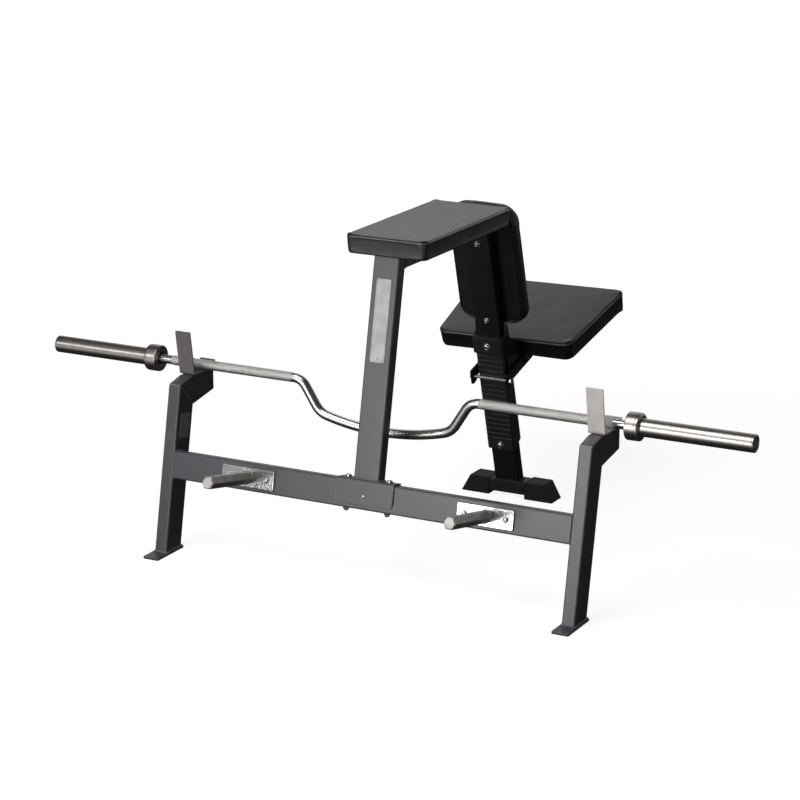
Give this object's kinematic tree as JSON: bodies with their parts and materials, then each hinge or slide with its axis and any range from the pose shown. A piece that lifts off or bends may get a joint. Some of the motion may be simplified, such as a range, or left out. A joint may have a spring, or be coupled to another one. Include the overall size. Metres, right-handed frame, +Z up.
{
  "type": "seal row bench",
  "caption": "High chest bench for lying rows, with bar rests, plate pegs, a knee pad that slides on a ribbed post and a cambered barbell.",
  "frame": {"origin": "on the floor, under the middle of the whole part with its bar", "axes": "+Z up, +X along the bar to the loading end on the right, +Y from the front frame to the knee pad"},
  "size_m": [2.214, 1.4522, 0.9733],
  "materials": {
    "frame_paint": "anthracite fine texture powder coat",
    "rest_paint": "warm grey powder coat, rubbed bright by the bar",
    "post_paint": "near black fine texture powder coat",
    "stainless": "polished stainless plate and hexagon bar",
    "zinc": "bright zinc plated fasteners",
    "bar_steel": "turned steel with knurled grips",
    "bronze": "plain bearing bronze",
    "vinyl": "black grained vinyl, semi-gloss",
    "pad_board": "black stained plywood",
    "rubber": "matte black moulded rubber",
    "moulded_black": "black moulded nylon"
  },
  "bodies": {
    "frame": {"upright_left": "frame_paint", "upright_right": "frame_paint", "head_left": "frame_paint", "head_right": "frame_paint", "foot_plate_left": "frame_paint", "foot_plate_right": "frame_paint", "bar_rest_left": "rest_paint", "bar_rest_right": "rest_paint", "cross_beam": "frame_paint", "label_plate": "stainless", "storage_plate_left": "stainless", "storage_plate_right": "stainless", "storage_bolt_left_a": "zinc", "storage_bolt_left_b": "zinc", "storage_bolt_right_a": "zinc", "storage_bolt_right_b": "zinc", "storage_peg_left": "stainless", "storage_peg_right": "stainless", "column": "frame_paint", "column_saddle": "frame_paint", "saddle_bolt_left": "zinc", "saddle_bolt_right": "zinc", "saddle_screw": "zinc", "name_plate": "stainless", "top_beam": "frame_paint", "chest_pad": "vinyl", "chest_pad_board": "pad_board", "rear_post": "post_paint", "rack_sleeve": "moulded_black", "rack_bolt": "zinc", "rear_foot_tube": "post_paint", "rear_foot_cap_left": "rubber", "rear_foot_cap_right": "rubber", "thigh_pad": "vinyl", "thigh_pad_board": "pad_board", "thigh_bolt_lower": "zinc", "thigh_bolt_upper": "zinc"},
    "knee_carriage": {"carriage_bracket": "post_paint", "seat_plate": "post_paint", "guide_block": "moulded_black", "carriage_bolt": "zinc", "knee_pad": "vinyl", "knee_pad_board": "pad_board", "latch_pivot": "zinc"},
    "knee_latch": {"latch_arm_left": "post_paint", "latch_arm_right": "post_paint", "latch_rod": "zinc", "latch_nut": "zinc"},
    "barbell": {"bar_shaft": "bar_steel"},
    "bar_sleeve_left": {"load_sleeve_left": "bar_steel", "collar_left": "bar_steel", "sleeve_bush_left": "bronze", "end_cap_left": "bar_steel"},
    "bar_sleeve_right": {"load_sleeve_right": "bar_steel", "collar_right": "bar_steel", "sleeve_bush_right": "bronze", "end_cap_right": "bar_steel"}
  },
  "joints": [
    {"name": "bar_lift", "type": "slide", "parent": "frame", "child": "barbell", "axis": [0, 0, 1], "range_m": [0, 0.4]},
    {"name": "left_sleeve_spin", "type": "hinge", "parent": "barbell", "child": "bar_sleeve_left", "pos_m": [-0.744, -0.32885, 0.5191], "axis": [1, 0, 0], "continuous": true},
    {"name": "right_sleeve_spin", "type": "hinge", "parent": "barbell", "child": "bar_sleeve_right", "pos_m": [0.744, -0.32885, 0.5191], "axis": [1, 0, 0], "continuous": true},
    {"name": "knee_height", "type": "slide", "parent": "frame", "child": "knee_carriage", "axis": [0, -0.2701, 0.9628], "range_m": [-0.15, 0.045]},
    {"name": "latch_swing", "type": "hinge", "parent": "knee_carriage", "child": "knee_latch", "pos_m": [0.03, 0.40093, 0.44873], "axis": [-1, 0, 0], "range_deg": [0, 12]}
  ]
}
